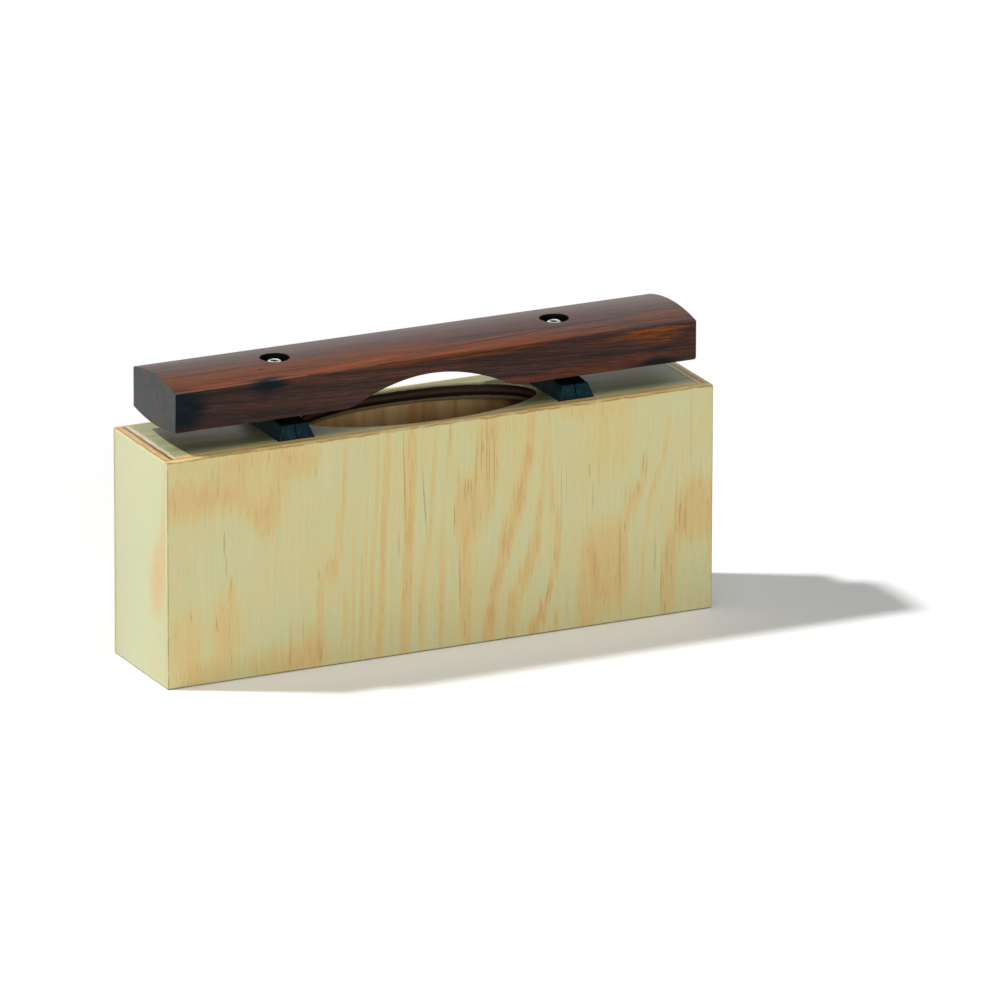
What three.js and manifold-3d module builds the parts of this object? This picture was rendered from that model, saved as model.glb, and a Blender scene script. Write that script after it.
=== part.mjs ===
// A chime bar: one rosewood tone bar that lies loosely on two rubber supports over a plywood
// resonance box. Millimetres, +X along the box, +Y to its back, +Z up, with the origin in the
// middle of the box's underside.

import * as THREE from "three";
import { mergeVertices } from "three/addons/utils/BufferGeometryUtils.js";
import Module from "manifold-3d";

// Resonance box
const boxLength = 240;
const boxWidth = 51.5;
const boxHeight = 94.4;
const longPanelThickness = 2.6; // front and back panel
const endPanelThickness = 6.2;
const topBoardThickness = 7;
const bottomPanelThickness = 5;
const boardFitGap = 0.15; // glue gap round the top board and the bottom panel
const topEdgeRadius = 1.4;
const uprightEdgeRadius = 0.8;
const bottomEdgeRadius = 0.4;

// Sound hole, an ellipse in the top board
const soundHoleEndMargin = 2.2; // from the hole's ends to the supports' feet
const soundHoleRim = 1.2; // wood left between the hole and the board's long edges
const soundHoleOffset = 1.4; // along the box, to the right of its middle

// Tone bar, with a crowned top, a crowned underside and a tuning arch cut out below
const barLength = 229;
const barWidth = 40;
const barSideHeight = 16.4;
const barTopCrown = 2.5;
const barBottomCrown = 2.05;
const barEdgeRadius = 0.9; // eased long edges
const barEndRadius = 1.3; // eased ends
const barOffset = 0.9; // the bar's middle, to the right of the middle of its two holes
const archSpan = 71; // at the lower edges of the bar's sides
const archDepth = 9.7; // from the same edges
const archOffset = -1.6; // the bar is tuned by hand, so the arch isn't quite in the middle
const barHoleDiameter = 11.8; // the wide upper part that takes the bush's collar
const barNeckDiameter = 8.4; // the narrow lower part that takes the bush's sleeve

// The two posts that hold the bar
const postSpacing = 122.8;
const barLift = 1; // play that lets the bar ring
const liftClearance = 0.2; // left between bar and collar at the end of that play
const runningGap = 0.3; // round each loose fit
const seatGap = 0.3; // between the bar and the support under it

// Rubber supports
const supportLength = 15.8; // along the box, at the foot
const supportSideGap = 2.15; // from the support's ends to the top board's long edges
const supportEdgeHeight = 5.7; // up to the ends of its crowned top
const supportCrown = 1.2;
const supportSideInset = 2.1; // by which each side leans in, at the edge height
const supportEndInset = 2.1;
const supportSlitWidth = 0.5;
const supportSlitLength = 9;

// Rubber bushes
const bushCollarHeight = 4;

// Screws and the blocks that they bite into
const screwLength = 40; // below the head
const screwDiameter = 3;
const screwPointLength = 3;
const screwHeadDiameter = 5.8;
const screwHeadHeight = 2.1;
const screwHeadDepth = 0.9; // top of the head below the bar's crown
const screwRimHeight = 0.9; // upright part of the head's side
const screwRecessSpan = 3.2;
const screwRecessWidth = 0.8;
const screwRecessDepth = 1.4;
const screwBlockLength = 16;
const screwBlockWidth = 26;
const screwBlockHeight = 12;

// How finely the curves are cut
const curveSteps = 10;
const archSteps = 28;
const roundSteps = 48;
const holeSteps = 72;
const screwSteps = 32;
const cutOverrun = 2; // by which a cutter passes the face that it cuts

const half = 1 / 2;
const quarterTurn = Math.PI * half;

// Heights that follow from the sizes above
const boardTop = boxHeight;
const boardUnderside = boardTop - topBoardThickness;
const boardLength = boxLength - 2 * (endPanelThickness + boardFitGap);
const boardWidth = boxWidth - 2 * (longPanelThickness + boardFitGap);
const soundHoleLength = postSpacing - supportLength - 2 * soundHoleEndMargin;
const supportTop = boardTop + supportEdgeHeight + supportCrown;
const barLow = supportTop + seatGap;
const barSideLow = barLow + barBottomCrown;
const barSideHigh = barSideLow + barSideHeight;
const barHigh = barSideHigh + barTopCrown;
const headTop = barHigh - screwHeadDepth;
const headUnderside = headTop - screwHeadHeight;
const collarUnderside = headUnderside - bushCollarHeight;
const barShoulder = collarUnderside - barLift - liftClearance;
const screwTip = headUnderside - screwLength;
const postPlaces = { left: -postSpacing * half, right: postSpacing * half };

const colours = {
  panel: { color: "#cfc898", roughness: 0.45, metalness: 0 },
  board: { color: "#a9ad8c", roughness: 0.5, metalness: 0 },
  rosewood: { color: "#5e3a30", roughness: 0.4, metalness: 0 },
  rubber: { color: "#16202a", roughness: 0.6, metalness: 0 },
  steel: { color: "#c8d2cc", roughness: 0.25, metalness: 1 },
  block: { color: "#c9a877", roughness: 0.7, metalness: 0 },
};

const wasm = await Module();
wasm.setup();

// A closed geometry as a solid that can be joined and cut.
function solidOf(geometry) {
  const bare = geometry.clone();
  bare.deleteAttribute("normal");
  bare.deleteAttribute("uv");
  const merged = mergeVertices(bare);
  return new wasm.Manifold(
    new wasm.Mesh({
      numProp: 3,
      vertProperties: new Float32Array(merged.attributes.position.array),
      triVerts: new Uint32Array(merged.index.array),
    }),
  );
}

// The solid's surface as a geometry again.
function geometryOf(solid) {
  const mesh = solid.getMesh();
  const geometry = new THREE.BufferGeometry();
  geometry.setAttribute("position", new THREE.BufferAttribute(mesh.vertProperties, 3));
  geometry.setIndex(new THREE.BufferAttribute(mesh.triVerts, 1));
  geometry.computeVertexNormals();
  return geometry;
}

// A block between its lowest and its highest corner.
function block(low, high) {
  const size = high.map((value, i) => value - low[i]);
  const middle = high.map((value, i) => (value + low[i]) * half);
  return solidOf(new THREE.BoxGeometry(...size).translate(...middle));
}

// An upright round bar or bore.
function roundBar(diameter, low, high, x, steps) {
  const radius = diameter * half;
  const geometry = new THREE.CylinderGeometry(radius, radius, high - low, steps);
  geometry.rotateX(quarterTurn);
  return solidOf(geometry.translate(x, 0, (low + high) * half));
}

function extrude(shape, depth, steps) {
  return new THREE.ExtrudeGeometry(shape, { depth, bevelEnabled: false, curveSegments: steps });
}

// An outline of X and Z, extruded along Y by the same width to both sides of the middle.
function alongWidth(shape, width, steps) {
  const geometry = extrude(shape, width, steps).rotateX(quarterTurn);
  return solidOf(geometry.translate(0, width * half, 0));
}

// An outline of Y and Z, extruded along X round the place given.
function alongLength(shape, length, x, steps) {
  const geometry = extrude(shape, length, steps).rotateY(quarterTurn).rotateX(quarterTurn);
  return solidOf(geometry.translate(x - length * half, 0, 0));
}

// An outline of X and Y, extruded upwards.
function upwards(shape, low, high, steps) {
  return solidOf(extrude(shape, high - low, steps).translate(0, 0, low));
}

// A rectangle with one radius at its lower corners and another at its upper ones.
function roundedOutline(left, right, low, high, lowRadius, highRadius) {
  const shape = new THREE.Shape();
  shape.moveTo(left + lowRadius, low);
  shape.lineTo(right - lowRadius, low);
  shape.absarc(right - lowRadius, low + lowRadius, lowRadius, -quarterTurn, 0);
  shape.absarc(right - highRadius, high - highRadius, highRadius, 0, quarterTurn);
  shape.absarc(left + highRadius, high - highRadius, highRadius, quarterTurn, Math.PI);
  shape.absarc(left + lowRadius, low + lowRadius, lowRadius, Math.PI, Math.PI + quarterTurn);
  return shape;
}

// The box as one rounded block: each wall is the part of it that lies in that wall's place,
// because the real box has its edges rounded after it is glued.
function boxEnvelope() {
  const x = boxLength * half;
  const y = boxWidth * half;
  const plan = roundedOutline(-x, x, -y, y, uprightEdgeRadius, uprightEdgeRadius);
  const front = roundedOutline(-x, x, 0, boxHeight, bottomEdgeRadius, topEdgeRadius);
  const end = roundedOutline(-y, y, 0, boxHeight, bottomEdgeRadius, topEdgeRadius);
  return upwards(plan, 0, boxHeight, curveSteps)
    .intersect(alongWidth(front, boxWidth, curveSteps))
    .intersect(alongLength(end, boxLength, 0, curveSteps));
}

function boxWalls() {
  const envelope = boxEnvelope();
  const x = boxLength * half;
  const y = boxWidth * half;
  const innerX = x - endPanelThickness;
  const innerY = y - longPanelThickness;
  return {
    front_panel: block([-x, -y, 0], [x, -innerY, boxHeight]).intersect(envelope),
    back_panel: block([-x, innerY, 0], [x, y, boxHeight]).intersect(envelope),
    left_end_panel: block([-x, -innerY, 0], [-innerX, innerY, boxHeight]).intersect(envelope),
    right_end_panel: block([innerX, -innerY, 0], [x, innerY, boxHeight]).intersect(envelope),
  };
}

function bottomPanel() {
  const x = boardLength * half;
  const y = boardWidth * half;
  return block([-x, -y, 0], [x, y, bottomPanelThickness]);
}

// The hole that a screw passes through or bites into, with its clearance.
function screwHole(x) {
  const diameter = screwDiameter + 2 * runningGap;
  return roundBar(diameter, screwTip - runningGap, headUnderside, x, screwSteps);
}

function topBoard() {
  const x = boardLength * half;
  const y = boardWidth * half;
  const hole = new THREE.Shape();
  hole.absellipse(soundHoleOffset, 0, soundHoleLength * half, y - soundHoleRim, 0, 2 * Math.PI);
  const board = block([-x, -y, boardUnderside], [x, y, boardTop]);
  return board
    .subtract(upwards(hole, boardUnderside - cutOverrun, boardTop + cutOverrun, holeSteps))
    .subtract(screwHole(postPlaces.left))
    .subtract(screwHole(postPlaces.right));
}

// Height of a crown over the straight line between its ends, at a distance from the middle.
function crownAt(crown, halfWidth, y) {
  return crown * (1 - (y / halfWidth) ** 2);
}

// The bar's section in Y and Z: upright sides, crowned top and underside, eased corners.
function barSection() {
  const y = barWidth * half;
  const flat = y - barEdgeRadius;
  const topEnd = barSideHigh + crownAt(barTopCrown, y, flat);
  const lowEnd = barSideLow - crownAt(barBottomCrown, y, flat);
  const shape = new THREE.Shape();
  shape.moveTo(y, barSideLow + barEdgeRadius);
  shape.lineTo(y, barSideHigh - barEdgeRadius);
  shape.quadraticCurveTo(y, barSideHigh, flat, topEnd);
  shape.quadraticCurveTo(0, 2 * barHigh - topEnd, -flat, topEnd);
  shape.quadraticCurveTo(-y, barSideHigh, -y, barSideHigh - barEdgeRadius);
  shape.lineTo(-y, barSideLow + barEdgeRadius);
  shape.quadraticCurveTo(-y, barSideLow, -flat, lowEnd);
  shape.quadraticCurveTo(0, 2 * barLow - lowEnd, flat, lowEnd);
  shape.quadraticCurveTo(y, barSideLow, y, barSideLow + barEdgeRadius);
  return shape;
}

// The tuning arch in X and Z, a parabola carried on below the bar's underside.
function archOutline() {
  const depth = archDepth + barBottomCrown + cutOverrun;
  const x = archSpan * half * Math.sqrt(depth / archDepth);
  const low = barLow - cutOverrun;
  const shape = new THREE.Shape();
  shape.moveTo(archOffset + x, low);
  shape.quadraticCurveTo(archOffset, low + 2 * depth, archOffset - x, low);
  return shape;
}

function barHole(x) {
  const neck = roundBar(barNeckDiameter, barLow - cutOverrun, barHigh, x, roundSteps);
  return neck.add(roundBar(barHoleDiameter, barShoulder, barHigh + cutOverrun, x, roundSteps));
}

function toneBar() {
  const left = barOffset - barLength * half;
  const right = barOffset + barLength * half;
  const y = barWidth * half;
  const side = roundedOutline(left, right, barLow, barHigh, barEndRadius, barEndRadius);
  const plan = roundedOutline(left, right, -y, y, barEdgeRadius, barEdgeRadius);
  return alongLength(barSection(), barLength, barOffset, curveSteps)
    .intersect(alongWidth(side, barWidth, curveSteps))
    .intersect(upwards(plan, barLow, barHigh, curveSteps))
    .subtract(alongWidth(archOutline(), barWidth + cutOverrun, archSteps))
    .subtract(barHole(postPlaces.left))
    .subtract(barHole(postPlaces.right));
}

// The support seen from the end of the box's long side: leaning ends and a crowned top.
function supportSection() {
  const foot = boardWidth * half - supportSideGap;
  const shoulder = foot - supportEndInset;
  const edge = boardTop + supportEdgeHeight;
  const shape = new THREE.Shape();
  shape.moveTo(-foot, boardTop);
  shape.lineTo(foot, boardTop);
  shape.lineTo(shoulder, edge);
  shape.quadraticCurveTo(0, edge + 2 * supportCrown, -shoulder, edge);
  return shape;
}

// The support seen from the front: a wedge whose sides lean in all the way up.
function supportWedge(x) {
  const foot = supportLength * half;
  const rise = supportEdgeHeight + supportCrown;
  const top = foot - (supportSideInset * rise) / supportEdgeHeight;
  const shape = new THREE.Shape();
  shape.moveTo(x - foot, boardTop);
  shape.lineTo(x + foot, boardTop);
  shape.lineTo(x + top, supportTop);
  shape.lineTo(x - top, supportTop);
  return shape;
}

// A slit from one end of the support towards its middle.
function supportSlit(x, side) {
  const end = side * (boardWidth * half - supportSideGap + cutOverrun);
  const inner = side * (boardWidth * half - supportSideGap - supportSlitLength);
  const low = [x - supportSlitWidth * half, Math.min(inner, end), boardTop - cutOverrun];
  const high = [x + supportSlitWidth * half, Math.max(inner, end), supportTop + cutOverrun];
  return block(low, high);
}

function barSupport(x) {
  return alongLength(supportSection(), supportLength, x, curveSteps)
    .intersect(alongWidth(supportWedge(x), boardWidth, curveSteps))
    .subtract(supportSlit(x, 1))
    .subtract(supportSlit(x, -1))
    .subtract(screwHole(x));
}

// A collar in the bar's wide hole on a sleeve that goes down through the narrow one.
function barBush(x) {
  const collar = barHoleDiameter - 2 * runningGap;
  const sleeve = barNeckDiameter - 2 * runningGap;
  const whole = roundBar(sleeve, supportTop, headUnderside, x, roundSteps).add(
    roundBar(collar, collarUnderside, headUnderside, x, roundSteps),
  );
  const bore = screwDiameter + 2 * runningGap;
  const low = supportTop - cutOverrun;
  return whole.subtract(roundBar(bore, low, headUnderside + cutOverrun, x, screwSteps));
}

// Half the screw's outline, from its point to the top of its domed head.
function screwOutline() {
  const shank = screwDiameter * half;
  const head = screwHeadDiameter * half;
  const outline = new THREE.Path();
  outline.moveTo(0, screwTip);
  outline.lineTo(shank, screwTip + screwPointLength);
  outline.lineTo(shank, headUnderside);
  outline.lineTo(head, headUnderside);
  outline.lineTo(head, headUnderside + screwRimHeight);
  outline.quadraticCurveTo(head, headTop, 0, headTop);
  return outline.getPoints(curveSteps);
}

function barScrew(x) {
  const turned = new THREE.LatheGeometry(screwOutline(), screwSteps).rotateX(quarterTurn);
  const span = screwRecessSpan * half;
  const width = screwRecessWidth * half;
  const floor = headTop - screwRecessDepth;
  const over = headTop + cutOverrun;
  return solidOf(turned.translate(x, 0, 0))
    .subtract(block([x - span, -width, floor], [x + span, width, over]))
    .subtract(block([x - width, -span, floor], [x + width, span, over]));
}

function screwBlock(x) {
  const length = screwBlockLength * half;
  const width = screwBlockWidth * half;
  const low = [x - length, -width, boardUnderside - screwBlockHeight];
  return block(low, [x + length, width, boardUnderside]).subtract(screwHole(x));
}

// One named piece of the part, in its own finish.
function piece(name, solid, colour) {
  const mesh = new THREE.Mesh(geometryOf(solid), new THREE.MeshStandardMaterial(colours[colour]));
  mesh.name = name;
  return mesh;
}

const chimeBar = new THREE.Group();
chimeBar.name = "chime_bar";

const box = new THREE.Group();
for (const [name, wall] of Object.entries(boxWalls())) {
  box.add(piece(name, wall, "panel"));
}
box.add(piece("bottom_panel", bottomPanel(), "panel"));
box.add(piece("top_board", topBoard(), "board"));
chimeBar.add(box);

for (const [side, x] of Object.entries(postPlaces)) {
  const post = new THREE.Group();
  post.add(piece(`${side}_screw_block`, screwBlock(x), "block"));
  post.add(piece(`${side}_bar_support`, barSupport(x), "rubber"));
  post.add(piece(`${side}_bar_bush`, barBush(x), "rubber"));
  post.add(piece(`${side}_bar_screw`, barScrew(x), "steel"));
  chimeBar.add(post);
}

chimeBar.add(piece("tone_bar", toneBar(), "rosewood"));

export default chimeBar;
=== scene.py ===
"""The looks of a chime bar: a rosewood bar on rubber supports over a plywood resonance box.

Every length is in millimetres until MM turns it to metres. +X runs along the box, +Y to its
back and +Z up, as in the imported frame.
"""

import math

import bmesh
import bpy
from mathutils import Matrix, Vector


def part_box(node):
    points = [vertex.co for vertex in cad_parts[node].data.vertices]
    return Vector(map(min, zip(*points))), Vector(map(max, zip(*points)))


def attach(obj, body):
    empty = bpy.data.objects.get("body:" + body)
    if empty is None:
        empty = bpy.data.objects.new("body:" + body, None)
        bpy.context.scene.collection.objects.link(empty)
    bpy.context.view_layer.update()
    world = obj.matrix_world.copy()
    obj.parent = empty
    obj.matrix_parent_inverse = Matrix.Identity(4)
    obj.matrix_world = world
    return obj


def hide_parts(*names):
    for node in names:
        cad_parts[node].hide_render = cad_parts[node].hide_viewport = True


MM = 0.001

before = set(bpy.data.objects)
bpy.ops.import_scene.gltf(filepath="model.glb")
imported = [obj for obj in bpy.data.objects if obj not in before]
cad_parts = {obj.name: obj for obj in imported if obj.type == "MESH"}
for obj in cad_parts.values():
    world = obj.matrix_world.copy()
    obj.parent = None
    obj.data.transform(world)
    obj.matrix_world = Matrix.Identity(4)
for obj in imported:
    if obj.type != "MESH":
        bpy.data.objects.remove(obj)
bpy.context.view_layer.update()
bpy.ops.object.select_all(action="DESELECT")


def node_box(node):
    """A node's lowest and highest corner in millimetres."""
    low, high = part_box(node)
    return low / MM, high / MM


board_low, board_high = node_box("top_board")
bar_low, bar_high = node_box("tone_bar")
front_low, front_high = node_box("front_panel")
back_low, back_high = node_box("back_panel")
left_low, left_high = node_box("left_end_panel")
right_low, right_high = node_box("right_end_panel")
screw_low, screw_high = node_box("left_bar_screw")
box_low = Vector((front_low.x, front_low.y, 0))
box_high = Vector((front_high.x, back_high.y, front_high.z))

# Resonance box
TOP_EDGE_RADIUS = 1.4
UPRIGHT_EDGE_RADIUS = 0.8
BOTTOM_EDGE_RADIUS = 0.7
JOINT_EASE = 0.1  # on the inner arrises, so that a glued joint reads as a fine line
HOLE_CENTRE_X = 1.4
HOLE_HALF_LENGTH = 51.3
HOLE_HALF_WIDTH = 21.8
HOLE_ARRIS = 0.6

# Tone bar
BAR_HALF_WIDTH = 20.0
BAR_SIDE_LOW = 103.65
BAR_SIDE_HIGH = 120.05
BAR_EDGE_RADIUS = 0.8
FRONT_ARRIS_RADIUS = 1.3  # of the upper front edge
BACK_FOOT_RADIUS = 2.6  # of the lower back edge, which is worn rounder than the others
LEFT_END_RADIUS = 0.5
RIGHT_END_RADIUS = 2.2
CROWN_STEPS = 12  # across half the bar's width
ARCH_HALF_SPAN = 35.5
ARCH_DEPTH = 9.7
ARCH_CENTRE_X = -1.6
ARCH_SOFTNESS = 0.9  # how far the arch's feet are rounded into the underside
ARCH_ARRIS = 0.3
ARCH_SHARE = 1.13  # how far the finely divided part reaches, for the rounded feet
ARCH_STEPS = 22  # along half the arch
POST_X = 61.4
HOLE_RADIUS = 5.9
HOLE_CHAMFER = 0.35  # how deep the holes' upper edge is broken
CHAMFER_RISE, CHAMFER_SPREAD = 2.5, 1.6  # the slope of that chamfer
NECK_RADIUS = 4.2
SHOULDER = 114.35

# What carries and holds the bar
BORE_RADIUS = 1.8  # of the holes that the screws pass through
SUPPORT_EDGE_HEIGHT = 5.7
SUPPORT_CROWN = 1.2
SUPPORT_INSET = 2.1  # how far its sides and ends lean in
SUPPORT_CROWN_STEPS = 8  # across half its length
SUPPORT_ARRIS = 0.35
SUPPORT_FOOT_ARRIS = 0.105
SLIT_LENGTH = 9.0
SLIT_HALF_WIDTH = 0.25
BUSH_COLLAR = 4.0
BUSH_PLAY = 0.3
BUSH_ARRIS = 0.3
HEAD_RADIUS = 2.9
HEAD_HEIGHT = 2.1
DOME_HEIGHT = 1.2
DOME_STEPS = 8
SHANK_RADIUS = 1.5
TIP_LENGTH = 3.0
TIP_SHARE = 0.06  # how wide the tip's end is, of the shank
DISH_RADIUS = 2.8
DISH_DEPTH = 0.9
DISH_FLOOR_SHARE = 0.6
RECESS_REACH = 2.0
RECESS_HALF_WIDTH = 0.45
RECESS_DEPTH = 1.9
RECESS_FLOOR_SHARE = 0.62
RECESS_SHADE_LOW, RECESS_SHADE_HIGH = 119.5, 120.95  # the heights between which painted shade darkens the recess
TAPER_TOP = 1.0  # how far above the head the dish and the recess would be at full width
BLOCK_ARRIS = 0.4

OVERRUN = 3.0  # how far a straight cutter stands past what it cuts
NEAR = 0.1  # closer than this, two places are the same
HAIR = 0.01  # a difference as small as this is only rounding
FAR = 1000.0  # beyond the whole object


def start_block(name, low, high):
    """A block between two corners in millimetres, in edit mode, with its corners in metres."""
    low, high = Vector(low) * MM, Vector(high) * MM
    bpy.ops.object.select_all(action="DESELECT")
    bpy.ops.mesh.primitive_cube_add(size=1, location=(low + high) / 2, scale=high - low)
    piece = bpy.context.object
    piece.name = name
    bpy.ops.object.transform_apply(location=True, rotation=True, scale=True)
    bpy.ops.object.mode_set(mode="EDIT")
    return piece


def start_round(name, radius, low, high, x=0.0, sides=64):
    """An upright round bar in millimetres, in edit mode, with its corners in metres."""
    bpy.ops.object.select_all(action="DESELECT")
    bpy.ops.mesh.primitive_cylinder_add(
        vertices=sides, radius=radius * MM, depth=(high - low) * MM,
        location=(x * MM, 0, (low + high) / 2 * MM),
    )
    piece = bpy.context.object
    piece.name = name
    bpy.ops.object.transform_apply(location=True, rotation=True, scale=True)
    bpy.ops.object.mode_set(mode="EDIT")
    return piece


def select(piece):
    """Makes a piece the only one that is selected, and the active one."""
    bpy.ops.object.select_all(action="DESELECT")
    piece.select_set(True)
    bpy.context.view_layer.objects.active = piece


def edit(piece):
    select(piece)
    bpy.ops.object.mode_set(mode="EDIT")


def leave_edit():
    bpy.ops.object.mode_set(mode="OBJECT")


def pick(kind, wanted):
    """Selects only the faces or edges whose middle, in millimetres, and self pass a test."""
    bpy.ops.mesh.select_mode(type=kind)
    bpy.ops.mesh.select_all(action="DESELECT")
    piece = bpy.context.object
    mesh = bmesh.from_edit_mesh(piece.data)
    for item in mesh.faces if kind == "FACE" else mesh.edges:
        corners = [corner.co / MM for corner in item.verts]
        if wanted(sum(corners, Vector()) / len(corners), item):
            item.select_set(True)
    bmesh.update_edit_mesh(piece.data)


def pick_top():
    pick("FACE", lambda middle, face: face.normal.z > 0.9)


def pick_foot():
    pick("FACE", lambda middle, face: face.normal.z < -0.9)


def grow(across, along=None):
    """Resizes what is picked, level and about its middle."""
    bpy.ops.transform.resize(value=(across, along or across, 1))


def raise_face(height):
    """Extrudes the picked face upright by a height in millimetres."""
    bpy.ops.mesh.extrude_region_move(TRANSFORM_OT_translate={"value": (0, 0, height * MM)})


def step_out(share):
    """Adds a level ring round the picked face, which then is wider by the share."""
    bpy.ops.mesh.inset(thickness=0, use_outset=True)
    grow(share)


def cut_off(place, outward):
    """Cuts everything beyond a plane away and closes the cut."""
    bpy.ops.mesh.select_all(action="SELECT")
    bpy.ops.mesh.bisect(
        plane_co=Vector(place) * MM, plane_no=outward, use_fill=True, clear_outer=True
    )


def slice_at(places, axis):
    """Adds an edge loop round the piece at each place along an axis."""
    outward = Vector((0, 0, 0))
    outward[axis] = 1
    for place in places:
        bpy.ops.mesh.select_all(action="SELECT")
        bpy.ops.mesh.bisect(plane_co=outward * place * MM, plane_no=outward)


def apply_modifier(piece, kind, **settings):
    modifier = piece.modifiers.new("shaping", kind)
    for name, value in settings.items():
        setattr(modifier, name, value)
    select(piece)
    bpy.ops.object.modifier_apply(modifier=modifier.name)


def cut_with(piece, cutter):
    """Takes the cutter's shape out of the piece and throws the cutter away."""
    apply_modifier(piece, "BOOLEAN", operation="DIFFERENCE", object=cutter, solver="EXACT")
    bpy.data.objects.remove(cutter)


def ease(piece, radius, segments=2, angle=30):
    """Rounds the edges that turn more than an angle by a radius in millimetres."""
    apply_modifier(
        piece, "BEVEL", width=radius * MM, segments=segments, limit_method="ANGLE",
        angle_limit=math.radians(angle),
    )


def round_edges(piece, widest, segments, radius):
    """Rounds each edge by a radius of its own, from a function of its two corners. The widest
    radius and all the lengths are in millimetres."""
    weights = piece.data.attributes.new("bevel_weight_edge", "FLOAT", "EDGE")
    corners = piece.data.vertices
    for edge in piece.data.edges:
        first, second = (corners[i].co / MM for i in edge.vertices)
        weights.data[edge.index].value = radius(first, second) / widest
    apply_modifier(piece, "BEVEL", width=widest * MM, segments=segments, limit_method="WEIGHT")


def smooth(piece, angle=32):
    select(piece)
    bpy.ops.object.shade_smooth_by_angle(angle=math.radians(angle))


def copy_of(piece, name):
    select(piece)
    bpy.ops.object.duplicate()
    made = bpy.context.object
    made.name = name
    return made


def moved(piece, x):
    """The piece moved along the box, with its place kept in its mesh."""
    piece.location.x += x * MM
    select(piece)
    bpy.ops.object.transform_apply(location=True, rotation=True, scale=True)
    return piece


def settle(piece, node, body, finish):
    """Gives a finished piece its material, and its place in the frame."""
    piece.data.materials.clear()
    piece.data.materials.append(finish)
    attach(piece, body)
    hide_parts(node)


def linear(colour):
    """An sRGB hex colour as the linear values that Blender works with."""
    parts = [int(colour[i:i + 2], 16) / 255 for i in (1, 3, 5)]
    lit = [p / 12.92 if p <= 0.04045 else ((p + 0.055) / 1.055) ** 2.4 for p in parts]
    return (*lit, 1.0)


EASED = {"interpolation_type": "SMOOTHSTEP"}


def add(tree, kind, inputs=(), stops=None, **settings):
    """Adds a node with its settings, its colour stops, and its inputs filled or linked. The
    inputs come by name or in the order of the node's sockets; a text is a hex colour."""
    node = tree.nodes.new("ShaderNode" + kind)
    for name, value in settings.items():
        setattr(node, name, value)
    if stops:
        elements = node.color_ramp.elements
        elements.remove(elements[1])
        elements[0].position = stops[0][0]
        elements[0].color = linear(stops[0][1])
        for position, colour in stops[1:]:
            elements.new(position).color = linear(colour)
    filled = inputs.items() if isinstance(inputs, dict) else enumerate(inputs)
    for socket, value in filled:
        if isinstance(value, bpy.types.Node):
            value = value.outputs[0]
        if isinstance(value, bpy.types.NodeSocket):
            tree.links.new(value, node.inputs[socket])
        else:
            node.inputs[socket].default_value = (
                linear(value) if isinstance(value, str) else value
            )
    return node


def new_material(name):
    made = bpy.data.materials.new(name)
    made.use_nodes = True
    made.node_tree.nodes.clear()
    return made, made.node_tree


def millimetres(tree, turn=0.0):
    """Object coordinates in millimetres, turned about the upright axis by degrees."""
    place = add(tree, "TexCoord").outputs["Object"]
    turned = (0, 0, math.radians(turn))
    return add(
        tree, "Mapping", {"Vector": place, "Scale": (1 / MM,) * 3, "Rotation": turned}
    )


def grain_noise(tree, place, sizes, shift=0.0, detail=2.0, roughness=0.5):
    """Noise with features of the given size in millimetres along each axis. The shift gives
    each use a stretch of noise of its own."""
    fitted = add(
        tree, "Mapping",
        {"Vector": place, "Location": (shift, shift * 1.7, shift * 2.3),
         "Scale": tuple(1 / size for size in sizes)},
    )
    return add(
        tree, "TexNoise",
        {"Vector": fitted, "Scale": 1.0, "Detail": detail, "Roughness": roughness},
    )


def wander(tree, place, sizes, reach, shift=0.0):
    """The place pushed about by noise, by up to half the reach along each axis."""
    noise = grain_noise(tree, place, sizes, shift)
    centred = add(
        tree, "VectorMath", [noise.outputs["Color"], (0.5, 0.5, 0.5)], operation="SUBTRACT"
    )
    return add(tree, "VectorMath", [centred, reach, place], operation="MULTIPLY_ADD")


def spots(tree, place, figure, softness):
    """The sum of several soft ellipses, each given as its place across and up, its half width
    and half height, its turn in degrees, and its strength."""
    total = 0.0
    for across, up, half_width, half_height, turn, strength in figure:
        local = add(
            tree, "Mapping",
            [place, (across, 0, up), (0, math.radians(turn), 0),
             (half_width, 100 * FAR, half_height)],
            vector_type="TEXTURE",
        )
        away = add(tree, "VectorMath", [local], operation="LENGTH").outputs["Value"]
        mask = add(
            tree, "MapRange", [away, 1 + softness, 1 - softness, 0.0, strength], **EASED
        )
        total = add(tree, "Math", [total, mask], operation="ADD")
    return total


def overlap(tree, *parts):
    """A mask where all its parts meet: masks, or values with the limits they ease between."""
    masks = [
        add(tree, "MapRange", part, **EASED) if isinstance(part, tuple) else part
        for part in parts
    ]
    shared = masks[0]
    for mask in masks[1:]:
        shared = add(tree, "Math", [shared, mask], operation="MULTIPLY")
    return shared


def stained(tree, colour, stain, value, low, high, least=0.0, most=1.0):
    """The colour under a stain that goes from least to most as a value goes low to high."""
    amount = add(tree, "MapRange", [value, low, high, least, most], **EASED)
    return add(tree, "MixRGB", [amount, colour, stain])


def shaded(tree, colour, value, low, high, darkest, lightest):
    """The colour made darker and lighter as a value goes from low to high."""
    shade = add(tree, "MapRange", [value, low, high, darkest, lightest], **EASED)
    return add(tree, "MixRGB", [1.0, colour, shade], blend_type="MULTIPLY")


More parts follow.
